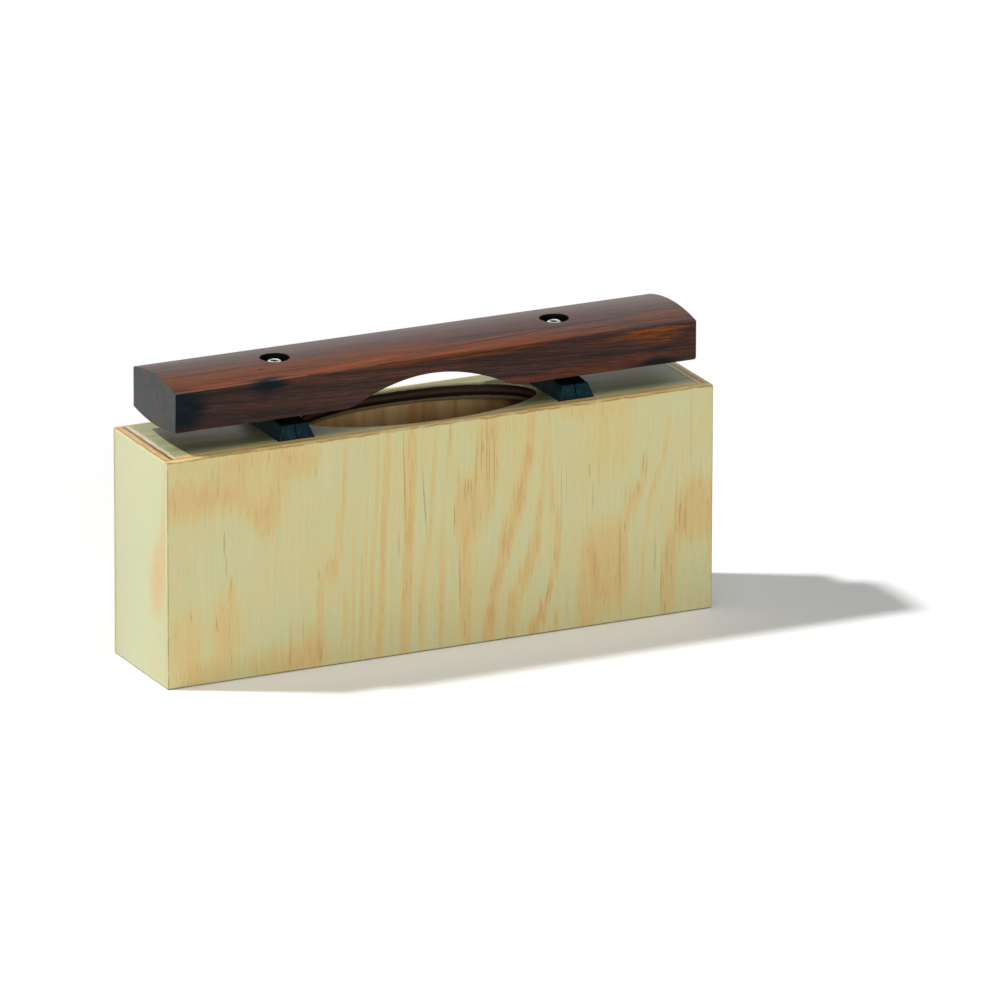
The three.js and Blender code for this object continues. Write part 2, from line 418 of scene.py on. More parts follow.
def surface(tree, colour, height, bump, **sockets):
    """The shader and the output; the bump is how many millimetres high the relief is."""
    names = {"roughness": "Roughness", "level": "Specular IOR Level", "ior": "IOR",
             "metallic": "Metallic"}
    inputs = {"Base Color": colour}
    inputs.update({names[name]: value for name, value in sockets.items()})
    if height is not None:
        inputs["Normal"] = add(
            tree, "Bump", {"Height": height, "Strength": 1.0, "Distance": bump * MM}
        )
    shader = add(tree, "BsdfPrincipled", inputs)
    add(tree, "OutputMaterial", {"Surface": shader})


# Pine ply, rotary cut, sanded and lacquered: a pale face with tan summer growth that runs
# upright, and darker plies wherever its edge is rounded through.
PINE_PALE = "#E3DFAA"
PINE_WARM = "#E7DCA2"
PINE_GOLD = "#E9DA97"
PINE_TAN = "#EBCF8E"
PINE_DEEP = "#E6BF7D"
PINE_BROWN = "#A5783F"

# Tan growth on the front panel: across, up, half width, half height, turn, strength. The
# cloudy patches come first, then the bands, and then the streaks, which bend round them.
FRONT_CLOUDS = [
    (-112, 77, 13, 8, -4, 1.0), (-92, 82, 13, 9, -8, 0.75), (-87, 72, 5, 10, -52, 0.6),
    (-77.5, 66, 5, 10, -8, 0.9), (-73, 77, 4, 11, 0, 0.6), (-63, 87, 9.5, 7, 0, 0.9),
    (-82, 92, 18, 4, 0, 0.6), (-112, 91, 9, 3, 0, 0.5), (-112, 17, 7, 14, 0, 0.75),
    (-94.5, 21, 6, 12, 0, 0.8), (-103, 5, 12, 5, 0, 0.65), (-68, 5, 18, 6, 0, 0.75),
    (-57, 10, 4, 10, 0, 0.5), (65, 92, 20, 4, 0, 0.6), (75, 76, 10, 15, 0, 0.45),
    (22, 90, 9, 5, 0, 0.5), (36, 80, 6, 16, 8, 0.2),
]
FRONT_GROWTH = [
    (-48.7, 40, 2.8, 7, 10, 0.65), (-53.5, 18, 1.8, 22, 0, 0.65), (-14, 74, 2.8, 30, 1.5, 0.75),
    (-15.8, 26, 2.5, 36, 3, 0.9), (10, 56, 4.6, 15, 0, 0.85), (10.3, 20, 2.7, 31, 0, 0.85),
    (19, 70, 5.6, 23, 5, 0.75), (38.8, 84, 1.8, 16, 6, 0.7), (36, 66, 2.3, 15, 14, 0.75),
    (30.5, 50, 4.2, 13, 18, 0.75), (26.3, 34, 3.2, 15, 14, 0.7), (23, 20, 2.4, 13, 8, 0.65),
    (20.8, 6, 3.2, 11, 6, 1.1), (42.2, 46, 2.5, 14, 6, 0.6), (39, 33, 2.9, 11, 18, 0.65),
    (34.6, 21, 2.9, 10, 26, 0.65), (30.4, 6, 2.6, 12, 4, 0.85), (50.8, 38, 1.6, 12, 2, 0.75),
    (49, 25, 1.6, 10, 14, 0.75), (45.6, 14, 1.8, 8, 22, 0.9), (41.5, 4, 2.7, 7, 26, 1.2),
    (64.5, 16, 4.6, 24, 3, 0.85), (74, 25, 8, 19, 0, 0.9), (79.5, 22, 2.4, 26, 0, 0.35),
    (84.5, 48, 2.6, 9, 16, 0.65), (88.7, 60, 1.8, 10, 10, 0.65), (111.5, 44, 8, 14, 0, 0.9),
    (104, 34, 3.6, 12, 12, 0.6), (100.2, 14, 3.2, 20, 2, 0.8), (119, 36, 2, 16, 0, 0.5),
]
FRONT_STREAKS = [
    (-92, 37, 1.3, 7, 0, 0.7), (-43.4, 68, 1.1, 27, 3.4, 0.75), (-46.3, 50, 0.8, 20, 3, 0.4),
    (-42.5, 19, 1.4, 16, 0, 0.5), (-39, 28, 0.9, 27, 1, 0.65), (-35.6, 20, 1.0, 23, 1, 0.7),
    (-33.2, 55, 0.6, 36, 1, 0.35), (-31, 28, 1.0, 29, 2, 0.6), (-28.6, 74, 0.9, 22, 1, 0.65),
    (-24.8, 72, 1.5, 28, 2.5, 0.9), (-27.0, 24, 1.6, 32, 2, 0.95), (-21.8, 45, 0.6, 52, 1, 0.3),
    (-7.3, 36, 1.1, 24, 8, 0.5), (-4.4, 72, 1.2, 26, 4, 0.6), (-9.4, 12, 1.3, 17, -2, 0.65),
    (-0.4, 22, 1.5, 30, 1, 0.85), (3, 84, 1.0, 13, 6, 0.6), (44, 64, 1.1, 22, 3, 0.65),
    (47.7, 66, 1.0, 22, -2, 0.6), (49.6, 50, 1.1, 10, -12, 0.6), (50, 4, 1.2, 8, 0, 0.75),
    (55.5, 6, 0.9, 8, 0, 0.4), (82, 50, 1.8, 10, 4, 0.5), (99.5, 76, 1.0, 13, 10, 0.5),
    (95.3, 60, 1.0, 13, 20, 0.55), (91, 40, 1.1, 18, 6, 0.5), (88.6, 16, 1.0, 18, 2, 0.4),
    (-61, 12, 1.0, 14, 0, 0.45), (-66.5, 10, 0.8, 12, 0, 0.5), (15, 30, 0.8, 26, -2, 0.35),
]
# Resin canals and torn fibres: thin brown lines, given in the same way.
FRONT_FLAMES = [
    (-95.3, 57, 0.3, 4.5, 1, 0.55), (-94.5, 47.5, 0.3, 3.5, 0, 0.5),
    (-98.5, 24.5, 0.3, 2.5, -4, 0.5), (-109.7, 29.5, 0.25, 2, -8, 0.4),
    (-92.2, 39.5, 0.3, 3, 0, 0.45),
    (-16.6, 71, 0.28, 19, -2, 0.7), (-8, 63, 0.28, 12, -4, 0.55), (-19.2, 47, 0.25, 5, -2, 0.4),
    (7.7, 28, 0.28, 11, -1, 0.6), (5.3, 54, 0.25, 6, 2, 0.5), (14.9, 75, 0.28, 11, 3, 0.5),
    (17.2, 80, 0.25, 8, 0, 0.4), (19.6, 78, 0.25, 14, 0, 0.4), (20.7, 74, 0.22, 14, 0, 0.4),
    (22.9, 74, 0.25, 16, 0, 0.4), (10.1, 65, 0.28, 3.6, 0, 0.6), (11.4, 66, 0.28, 3, 0, 0.65),
    (12.8, 66, 0.25, 3, 0, 0.5), (88.9, 66, 0.25, 3.5, 4, 0.5), (90.2, 63, 0.25, 4, 4, 0.4),
    (97.2, 12, 0.28, 14, 0, 0.45), (94.2, 27, 0.28, 7, 0, 0.5), (64.8, 66, 0.25, 2.5, 0, 0.5),
    (66.3, 54, 0.25, 5, 0, 0.35), (52.4, 58, 0.22, 12, 0, 0.3), (105.5, 42, 0.28, 8, 1, 0.45),
    (108, 38, 0.28, 7, 0, 0.45), (103.5, 44, 0.25, 12, 2, 0.4), (99.8, 24, 0.28, 6, 0, 0.45),
    (79, 22, 0.3, 18, 0, 0.35), (46.6, 17, 0.3, 5, 12, 0.45), (-54.2, 39, 0.25, 2.5, 0, 0.45),
    (110, 74, 0.2, 20, 0, 0.25), (3.4, 90, 0.28, 5, 2, 0.4), (-66.4, 8, 0.25, 5, 0, 0.4),
    (-60.8, 16, 0.2, 6, 0, 0.35), (-100, 87, 0.25, 3, 0, 0.35), (35, 63, 0.25, 4, 8, 0.35),
    (27.5, 42, 0.25, 6, 4, 0.3), (38, 36, 0.25, 6, 0, 0.3), (69, 64, 0.2, 6, 0, 0.25),
    (54.6, 64, 0.2, 6, 0, 0.25), (81, 54, 0.25, 4, 0, 0.3), (114.5, 60, 0.2, 5, 0, 0.3),
]
BACK_FIGURE = [
    (-98, 30, 7, 40, 4, 0.7), (-80, 62, 4, 34, 6, 0.6), (-66, 40, 1.2, 50, 3, 0.6),
    (-58, 50, 0.8, 50, 3, 0.5), (-50, 45, 2.4, 50, 2, 0.8), (-38, 22, 8, 22, 0, 0.7),
    (-27, 60, 1.4, 40, 2, 0.6), (-14, 50, 3.2, 50, 0, 0.85), (-4, 40, 1.0, 44, -2, 0.5),
    (8, 52, 1.6, 44, -3, 0.7), (22, 30, 5, 34, -5, 0.75), (34, 66, 3, 30, -6, 0.7),
    (48, 50, 1.1, 50, -4, 0.6), (60, 40, 10, 26, 0, 0.75), (80, 78, 22, 9, 0, 0.6),
    (92, 34, 3, 34, -8, 0.7), (109, 50, 8, 20, 0, 0.7),
]
BACK_FLAMES = [
    (-70, 60, 0.3, 12, 3, 0.6), (-31, 40, 0.3, 9, 2, 0.5), (-12.5, 55, 0.35, 16, 0, 0.6),
    (24, 36, 0.3, 10, -5, 0.5), (57, 30, 0.35, 6, 0, 0.6), (90, 52, 0.3, 9, -8, 0.5),
]
LEFT_FIGURE = [
    (19, 47, 6, 20, 12, 0.8), (14, 42, 8, 12, 0, 0.4), (14, 7, 10, 6, 0, 0.35),
    (23, 76, 4, 20, 0, 0.3), (-20, 60, 1.0, 34, 0, 0.2),
]
RIGHT_FIGURE = [
    (-12, 60, 5, 26, 0, 0.7), (-3, 40, 1.4, 46, 2, 0.5), (6, 30, 4, 26, 3, 0.7),
    (15, 70, 3, 18, 5, 0.6), (19, 30, 1.4, 30, 0, 0.5),
]


def pine_figure(tree, face, figure, flames, pale, warm, tan, deep, crispness, shift):
    """Pine's colour and its fibres: tan growth with ragged ends on a pale ground. The figure
    is a list of layers, each with how soft its edges are."""
    swayed = wander(tree, face, (11, 11, 40), (2.0, 0, 6), shift)
    # Each fibre of the growth ends at a height of its own.
    frayed = wander(
        tree, swayed, (0.9, 0.9, 40), (0.9 * crispness, 0, 17 * crispness), shift + 61
    )
    # Each layer bends round the growth that is already there.
    growth, bent = 0.0, frayed
    for softness, layer in figure:
        found = spots(tree, bent, layer, softness)
        growth = add(tree, "Math", [growth, found], operation="ADD")
        bent = add(tree, "VectorMath", [growth, (0.5, 0, 0), frayed], operation="MULTIPLY_ADD")
    fibres = grain_noise(tree, face, (0.7, 0.7, 26), shift + 5, 3, 0.7)
    streaks = grain_noise(tree, face, (1.9, 1.9, 44), shift + 7, 3, 0.65)
    cloud = grain_noise(tree, face, (24, 24, 30), shift + 13, 1)
    wood = stained(tree, pale, warm, cloud, 0.35, 0.65)
    # Streaks and fibres pull the growth's edge into upright fingers.
    pulled = add(tree, "Math", [streaks, 1.1 * crispness, growth], operation="MULTIPLY_ADD")
    pulled = add(tree, "Math", [fibres, 0.6 * crispness, pulled], operation="MULTIPLY_ADD")
    edge = 0.85 * crispness
    # A golden halo goes before the tan.
    wood = stained(tree, wood, PINE_GOLD, pulled, edge - 0.1, edge + 0.5, 0.0, 0.8 * crispness)
    wood = stained(tree, wood, tan, pulled, edge + 0.1, edge + 1.05)
    wood = stained(tree, wood, deep, pulled, edge + 0.9, edge + 1.8)
    # Short torn fibres, 0.4 mm wide and up to 9 mm long, mostly in the tan growth.
    dashes = grain_noise(tree, face, (0.42, 0.42, 9), shift + 21, 1)
    dash = overlap(tree, (dashes, 0.63, 0.75), (pulled, edge + 0.1, edge + 0.9, 0.1, 0.4))
    wood = add(tree, "MixRGB", [dash, wood, PINE_BROWN])
    if flames:
        ragged = wander(tree, face, (1.2, 1.2, 5), (0.5, 0, 3), shift + 3)
        torn = add(tree, "VectorMath", [growth, (0.3, 0, 0), ragged], operation="MULTIPLY_ADD")
        line = overlap(tree, spots(tree, torn, flames, 0.7), (fibres, 0.3, 0.6, 0.35, 1.0))
        wood = add(tree, "MixRGB", [line, wood, PINE_BROWN])
    ripple = 0.035 * crispness
    return shaded(tree, wood, fibres, 0.2, 0.8, 1 - ripple, 1 + ripple), fibres


def plywood_wall(
    name, turn, reach, thickness, figure, flames, rim, line, seam, arris, shift, look
):
    """A wall's material. The turn makes X run across the face and Y go in from the outer face,
    which lies at minus the reach. The rim is the top edge's colours by depth, the line is how
    far below the top the first glue line shows and how strong it is, the seam is the colour
    of the glue line at the wall's ends, and the arris is how worn its corners are."""
    made, tree = new_material(name)
    face = millimetres(tree, turn)
    wood, fibres = pine_figure(tree, face, figure, flames, *look, shift)
    parts = add(tree, "SeparateXYZ", [face])
    outward = add(tree, "TexCoord").outputs["Normal"]
    turned = (0, 0, math.radians(turn))
    outward = add(tree, "Mapping", {"Vector": outward, "Rotation": turned})
    normal = add(tree, "SeparateXYZ", [outward])
    depth = add(tree, "Math", [parts.outputs["Y"], reach], operation="ADD")
    # The plies come up in gentle waves where the rounding cuts them at a low angle.
    waves = []
    for size, amount, number, detail in ((11, 0.18, 31, 2), (2, 0.08, 33, 1)):
        wave = grain_noise(tree, face, (size,) * 3, shift + number, detail)
        waves.append(add(tree, "MapRange", [wave, 0.3, 0.7, -amount, amount], **EASED))
    sway = add(tree, "Math", waves, operation="ADD")
    swayed_depth = add(tree, "Math", [sway, depth], operation="ADD")
    share = add(tree, "Math", [swayed_depth, thickness], operation="DIVIDE")
    # The top rim.
    plies = add(tree, "ValToRGB", [share], stops=rim)
    streaks = grain_noise(tree, face, (7, 0.5, 7), shift + 41, 2)
    plies = shaded(tree, plies, streaks, 0.3, 0.7, 0.86, 1.08)
    colour = stained(tree, wood, plies, normal.outputs["Z"], 0.45, 0.7)
    # The upright edges, where only one fine glue line shows.
    edge = add(
        tree, "ValToRGB", [share],
        stops=[(0.0, look[0]), (0.48, look[0]), (0.54, seam), (0.64, seam), (0.7, look[1])],
    )
    sideways = add(tree, "Math", [normal.outputs["X"]], operation="ABSOLUTE")
    colour = stained(tree, colour, edge, sideways, 0.7, 0.9)
    # The upright corners are sanded through to a brown line that comes and goes.
    worn = grain_noise(tree, face, (9, 9, 9), shift + 37, 2)
    corner = overlap(
        tree, (worn, 0.3, 0.6, 0.3, 1.0), (sideways, 0.2, 0.4),
        (sideways, 0.85, 0.6, 0.0, arris),
    )
    colour = add(tree, "MixRGB", [corner, colour, "#A08650"])
    # The first glue line, where the rounding comes through it below the top.
    below, strength = line
    height = add(tree, "Math", [parts.outputs["Z"], sway], operation="ADD")
    middle = box_high.z - below
    broken = grain_noise(tree, face, (6, 6, 6), shift + 35, 2)
    glue = overlap(
        tree, (height, middle - 0.55, middle - 0.15), (height, middle + 0.55, middle + 0.15),
        (broken, 0.3, 0.6, 0.35, 1.0),
        (depth, thickness * 0.6, thickness * 0.45, 0.0, strength),
    )
    colour = add(tree, "MixRGB", [glue, colour, "#B98F50"])
    # The inner face is rougher and browner.
    raw = grain_noise(tree, face, (8, 8, 70), shift + 51, 3, 0.55)
    raw_wood = stained(tree, "#F4D092", "#D09A58", raw, 0.3, 0.7)
    colour = stained(tree, colour, raw_wood, depth, thickness - 0.12, thickness - 0.06)
    # The foot is darkened with painted shade where the box meets the floor.
    colour = stained(tree, colour, "#6A5C3C", parts.outputs["Z"], 0.75, 0.15, 0.0, 0.75)
    surface(tree, colour, fibres, 0.015, roughness=0.42, level=0.3, ior=1.45)
    return made


FRONT_RIM = [(0.0, "#F2D996"), (0.3, "#F0D48C"), (0.5, "#E8CB88"), (0.58, "#CDB67C"),
             (0.9, "#C4AE78"), (1.0, "#8E7A50")]
OUTER_PLY = [(0.0, "#EBD9A4"), (0.05, "#D9BE88"), (0.08, "#B4905A"), (0.13, "#B4905A")]
LEFT_RIM = OUTER_PLY + [
    (0.17, "#E6C494"), (0.42, "#E2BE8E"), (0.45, "#7A5836"), (0.63, "#7E5C3A"),
    (0.67, "#E2D6B0"), (0.95, "#E6DCB8"), (1.0, "#8A6E4C"),
]
RIGHT_RIM = OUTER_PLY + [
    (0.17, "#E2C698"), (0.42, "#DCC092"), (0.45, "#A98D60"), (0.63, "#A98D60"),
    (0.67, "#D8C9A0"), (0.95, "#DCCFA6"), (1.0, "#8A6E4C"),
]
FACE_PINE = (PINE_PALE, PINE_WARM, PINE_TAN, PINE_DEEP, 1.0)
END_PINE = ("#DEE2B7", "#E2E3B5", "#E9D09B", "#E4C088", 0.3)

front_pine = plywood_wall(
    "front pine ply, sanded and lacquered", 0, -box_low.y, front_high.y - front_low.y,
    [(0.65, FRONT_CLOUDS), (0.4, FRONT_GROWTH), (0.6, FRONT_STREAKS)], FRONT_FLAMES,
    FRONT_RIM, (0.7, 0.9), "#DDD9AA", 0.7, 0.0, FACE_PINE,
)
back_pine = plywood_wall(
    "back pine ply, sanded and lacquered", 180, box_high.y, back_high.y - back_low.y,
    [(0.45, BACK_FIGURE)], BACK_FLAMES, FRONT_RIM, (0.7, 0.9), "#9C9474", 0.7, 50.0, FACE_PINE,
)
left_pine = plywood_wall(
    "left pine ply, sanded and lacquered", 90, -box_low.x, left_high.x - left_low.x,
    [(0.85, LEFT_FIGURE)], [], LEFT_RIM, (0.2, 0.5), PINE_PALE, 0.0, 90.0, END_PINE,
)
right_pine = plywood_wall(
    "right pine ply, sanded and lacquered", -90, box_high.x, right_high.x - right_low.x,
    [(0.85, RIGHT_FIGURE)], [], RIGHT_RIM, (0.2, 0.5), PINE_PALE, 0.0, 130.0, END_PINE,
)


# Birch-faced board, sanded and lacquered: cooler and greyer than the walls, with painted light
# that makes it paler towards the right and golden in front of the sound hole, whose wall shows
# five plies.
def board_material():
    made, tree = new_material("top board plywood, sanded and lacquered")
    place = millimetres(tree)
    parts = add(tree, "SeparateXYZ", [place])
    fibres = grain_noise(tree, place, (30, 1.3, 1.3), 3, 4, 0.65)
    broad = grain_noise(tree, place, (60, 5, 5), 7, 2)
    ground = stained(tree, "#9B9E72", "#ADB184", broad, 0.35, 0.65)
    # Painted light: the board is paler towards the right.
    ground = stained(tree, ground, "#BECDA6", parts.outputs["X"], 40, 80, 0.0, 0.4)
    # Painted light: a golden band along the front edge, in front of the sound hole.
    ground = stained(tree, ground, "#DCBB70", parts.outputs["Y"], -20.0, -20.8)
    ground = shaded(tree, ground, fibres, 0.3, 0.7, 0.88, 1.08)
    ripple = grain_noise(tree, place, (9, 9, 9), 15, 2)
    ripple = add(tree, "MapRange", [ripple, 0.3, 0.7, -0.1, 0.1], **EASED)
    height = add(tree, "Math", [ripple, parts.outputs["Z"]], operation="ADD")
    plies = add(
        tree, "ValToRGB", [add(tree, "MapRange", [height, board_low.z, board_high.z])],
        stops=[(0.0, "#3A2C1C"), (0.03, "#97835C"), (0.21, "#97835C"), (0.24, "#1E130C"),
               (0.42, "#1E130C"), (0.46, "#54402E"), (0.63, "#54402E"), (0.67, "#1E130C"),
               (0.85, "#1E130C"), (0.88, "#C8B88E")],
    )
    grit = grain_noise(tree, place, (3, 3, 0.35), 25, 2)
    plies = shaded(tree, plies, grit, 0.3, 0.7, 0.8, 1.15)
    normal = add(tree, "SeparateXYZ", [add(tree, "TexCoord").outputs["Normal"]])
    upright = add(tree, "Math", [normal.outputs["Z"]], operation="ABSOLUTE")
    colour = stained(tree, ground, plies, upright, 0.75, 0.5)
    surface(tree, colour, fibres, 0.03, roughness=0.45, level=0.3, ior=1.45)
    return made


board_ply = board_material()


# Sawn spruce, unfinished: faint growth rings along it and saw marks across them.
def block_material():
    made, tree = new_material("sawn spruce, unfinished")
    place = millimetres(tree)
    rings = grain_noise(tree, place, (60, 2.4, 2.4), 3, 2)
    saw = grain_noise(tree, place, (0.9, 12, 12), 11, 2)
    colour = stained(tree, "#D2B384", "#B98F5C", rings, 0.35, 0.65)
    colour = shaded(tree, colour, saw, 0.3, 0.7, 0.92, 1.04)
    surface(tree, colour, saw, 0.12, roughness=0.75, level=0.3)
    return made


sawn_spruce = block_material()


# Brighter growth that runs along the bar: along, round the front, half length, half width,
# turn, strength.
BAR_EMBERS = [
    (-95, 11.5, 50, 9.0, 0, 0.95), (-45, 12.8, 45, 7.6, 4.5, 0.95), (10, 15.8, 42, 5.0, 5, 0.95),
    (52, 19.2, 40, 2.6, 4.5, 0.8), (92, 23.4, 18, 1.8, 3, 0.5), (98, 25.8, 11, 3.0, 0, 0.45),
    (105, 12, 16, 5, 6, 0.45),
]
BAR_FLARES = [
    (-88, 17.5, 24, 1.6, 1, 0.5), (-38, 17.2, 34, 1.5, 4.5, 0.8), (8, 18.4, 34, 1.3, 5, 0.7),
    (42, 20.2, 18, 0.9, 4.5, 0.7), (93, 23.0, 12, 1.2, 3, 0.6), (-60, 10.5, 30, 1.0, 4, 0.5),
]
BAR_REDS = [
    (75, 34.4, 46, 2.6, 2, 0.8), (10, 35.5, 30, 2.0, 0, 0.5),
    (-20, 4.0, 60, 3.0, 4, 0.5), (80, 12.0, 50, 2.0, 4, 0.6), (80, 5, 50, 7, 4, 0.3),
    (-10, -1, 110, 8, 2, 0.35), (70, 26, 36, 3, 2, 0.35), (0, 26.5, 22, 3, 0, 0.35),
]
BAR_SHADOWS = [
    (-112, 27.5, 9, 8.5, 0, 0.95), (-73.4, 22.3, 5.5, 3.8, 0, 0.65), (-86, 23, 26, 1.3, 0, 0.45),
    (-82, 32, 34, 7, 0, 0.28), (99.5, 36.2, 8.5, 1.9, -3, 0.95), (-74, 9.8, 1.6, 1.0, 0, 0.6),
    (-58, 12.3, 5, 0.8, 0, 0.4), (-62, 21.0, 85, 0.35, 0.3, 0.85), (50, 21.2, 60, 0.35, 1.2, 0.6),
    (-74, 19, 9, 0.9, 0, 0.55), (96, 15.5, 30, 0.4, 4, 0.6), (60, 9.5, 60, 0.35, 4, 0.5),
    (15, 0, 85, 7, 2, 0.3), (100, 30.5, 9, 1.4, 0, 0.4), (20, 13.0, 40, 0.4, 5, 0.5),
    (-92, 5.4, 26, 0.8, 2, 0.5),
]
LAYER_ZERO = 121.0  # the height over the bar's middle at which layers are counted from zero


# Rosewood, planed, oiled and rubbed: long dark streaks through red-brown, with short open
# pores, a glare at low angles, and a dull grey-green end grain.
def rosewood_material():
    made, tree = new_material("rosewood, planed and oiled")
    place = millimetres(tree)
    parts = add(tree, "SeparateXYZ", [place])
    # The layers lie at 45 degrees, so one number runs over the top and down the front.
    across = add(tree, "Math", [parts.outputs["Y"], parts.outputs["Z"]], operation="ADD")
    layer = add(tree, "Math", [LAYER_ZERO, across], operation="SUBTRACT")
    unrolled = add(tree, "CombineXYZ", {"X": parts.outputs["X"], "Z": layer})
    swayed = wander(tree, unrolled, (60, 9, 9), (8, 0, 1.4), 2)
    drift = add(tree, "Mapping", {"Vector": swayed, "Rotation": (0, math.radians(3), 0)})
    fine = grain_noise(tree, drift, (30, 0.6, 0.6), 11, 4, 0.7)
    coarse = grain_noise(tree, drift, (60, 1.5, 1.5), 29, 3, 0.6)
    broad = grain_noise(tree, drift, (110, 3.0, 3.0), 17, 4, 0.6)
    fibres = grain_noise(tree, drift, (7, 0.45, 0.45), 53, 3, 0.6)
    # Fine and coarse threads pull the edge of each coloured patch out into long streaks.
    threads = add(tree, "Math", [fine, 0.8], operation="MULTIPLY")
    threads = add(tree, "Math", [coarse, 0.8, threads], operation="MULTIPLY_ADD")
    masks = []
    for figure, softness, low, high in (
        (BAR_REDS, 0.6, 0.9, 1.6), (BAR_EMBERS, 0.45, 0.85, 1.45),
        (BAR_FLARES, 0.7, 1.0, 1.8), (BAR_SHADOWS, 0.9, 0.8, 1.7),
    ):
        drawn = spots(tree, swayed, figure, softness)
        pulled = add(tree, "Math", [threads, drawn], operation="ADD")
        masks.append(add(tree, "MapRange", [pulled, low, high], **EASED))
    reds, embers, flares, shadows = masks
    # Golden flecks on the front, near the right end.
    gold = overlap(
        tree, embers, (parts.outputs["X"], 74, 90), (layer, 21, 22),
        (fibres, 0.4, 0.7, 0.1, 0.5),
    )
    colour = add(
        tree, "ValToRGB", [broad], stops=[(0.3, "#352725"), (0.5, "#46312B"), (0.7, "#58392E")]
    )
    for mask, tone in (
        (reds, "#5E3526"), (embers, "#68361A"), (flares, "#883C10"), (gold, "#94602F"),
    ):
        colour = add(tree, "MixRGB", [mask, colour, tone])
    colour = stained(tree, colour, "#1E1512", threads, 0.72, 0.5, 0.0, 0.5)
    colour = add(tree, "MixRGB", [shadows, colour, "#07171C"])
    for streak, darkest, lightest in (
        (fine, 0.6, 1.4), (coarse, 0.82, 1.18), (fibres, 0.7, 1.3),
    ):
        colour = shaded(tree, colour, streak, 0.25, 0.75, darkest, lightest)
    # Open pores, drawn 0.3 mm wide and 5 mm long so that they show, some with pale dust.
    pores = grain_noise(tree, drift, (5, 0.3, 0.3), 23, 1)
    pore = add(tree, "MapRange", [pores, 0.64, 0.74, 0.0, 0.5], **EASED)
    colour = add(tree, "MixRGB", [pore, colour, "#150C0A"])
    colour = stained(tree, colour, "#8A6A50", pores, 0.32, 0.24, 0.0, 0.12)
    # The front arris carries a painted highlight, lighter in places and most towards the left.
    normal = add(tree, "SeparateXYZ", [add(tree, "TexCoord").outputs["Normal"]])
    patches = grain_noise(tree, place, (14, 14, 14), 41, 3)
    arris_highlight = overlap(
        tree, (patches, 0.38, 0.6), (normal.outputs["Y"], -0.3, -0.5),
        (normal.outputs["Y"], -0.98, -0.85), (parts.outputs["X"], 0, -60, 0.1, 0.5),
    )
    colour = add(tree, "MixRGB", [arris_highlight, colour, "#94705F"])
    mottle = grain_noise(tree, place, (4, 4, 4), 31, 3, 0.6)
    end_grain = stained(tree, "#404C4E", "#564E4A", mottle, 0.38, 0.62)
    endwise = add(tree, "Math", [normal.outputs["X"]], operation="ABSOLUTE")
    colour = stained(tree, colour, end_grain, endwise, 0.6, 0.85)
    # The drilled holes' walls are painted near black: painted shade in the holes.
    hole_shade = 0.0
    for side in (-1, 1):
        away = add(tree, "VectorMath", [place, (side * POST_X, 0, 0)], operation="SUBTRACT")
        away = add(tree, "VectorMath", [away, (1, 1, 0)], operation="MULTIPLY")
        away = add(tree, "VectorMath", [away], operation="LENGTH").outputs["Value"]
        inside = add(tree, "MapRange", [away, HOLE_RADIUS + 0.25, HOLE_RADIUS + 0.1], **EASED)
        hole_shade = add(tree, "Math", [hole_shade, inside], operation="MAXIMUM")
    colour = add(tree, "MixRGB", [hole_shade, colour, "#0C0908"])
    relief = add(tree, "Math", [fine, pore], operation="SUBTRACT")
    surface(tree, colour, relief, 0.03, roughness=0.34, level=0.13, ior=1.45)
    return made


rosewood = rosewood_material()


# Black rubber, moulded: matt blue-black with a faint bloom and dust in its pores.
def rubber_material():
    made, tree = new_material("black rubber, moulded")
    place = millimetres(tree)
    bloom = grain_noise(tree, place, (3.5, 3.5, 3.5), 5, 3, 0.6)
    grit = grain_noise(tree, place, (0.7, 0.7, 0.7), 9, 2)
    colour = stained(tree, "#071E23", "#16363C", bloom, 0.35, 0.7)
    colour = stained(tree, colour, "#2A4A56", grit, 0.6, 0.75, 0.0, 0.4)
    # Painted shade darkens it to near black on its crown under the bar, round its foot and along
    # its corners.
    height = add(tree, "SeparateXYZ", [place]).outputs["Z"]
    normal = add(tree, "SeparateXYZ", [add(tree, "TexCoord").outputs["Normal"]])
    corner = add(
        tree, "Math", [normal.outputs["X"], normal.outputs["Y"]], operation="MULTIPLY"
    )
    corner = add(tree, "Math", [corner], operation="ABSOLUTE")
    for value, low, high, most in (
        (height, board_high.z + 5.4, board_high.z + 5.8, 0.85),
        (height, board_high.z + 0.5, board_high.z + 0.15, 0.7),
        (corner, 0.12, 0.3, 0.85),
    ):
        colour = stained(tree, colour, "#020607", value, low, high, 0.0, most)
    surface(tree, colour, grit, 0.05, roughness=0.6, level=0.09, ior=1.5)
    return made


moulded_rubber = rubber_material()


# Steel, zinc plated: bright and slightly green, with painted shade in the recess.
def steel_material():
    made, tree = new_material("steel, zinc plated")
    place = millimetres(tree)
    parts = add(tree, "SeparateXYZ", [place])
    turned = grain_noise(tree, place, (1.2, 1.2, 0.15), 3, 2)
    colour = stained(tree, "#C2CCC6", "#D8E0DA", turned, 0.3, 0.7)
    sideways = add(tree, "Math", [parts.outputs["X"]], operation="ABSOLUTE")
    from_axis = add(tree, "Math", [sideways, POST_X], operation="SUBTRACT")
    away = add(tree, "CombineXYZ", [from_axis, parts.outputs["Y"]])
    away = add(tree, "VectorMath", [away], operation="LENGTH").outputs["Value"]
    height = parts.outputs["Z"]
    # Painted shade: the recess is darkened to near black.
    recess_shade = overlap(
        tree, (away, RECESS_REACH + 0.1, RECESS_REACH), (height, RECESS_SHADE_HIGH, RECESS_SHADE_HIGH - 0.1),
        (height, RECESS_SHADE_LOW, RECESS_SHADE_LOW + 0.1),
    )
    colour = add(tree, "MixRGB", [recess_shade, colour, "#141A16"])
    surface(tree, colour, turned, 0.01, roughness=0.5, metallic=0.45)
    return made


plated_steel = steel_material()


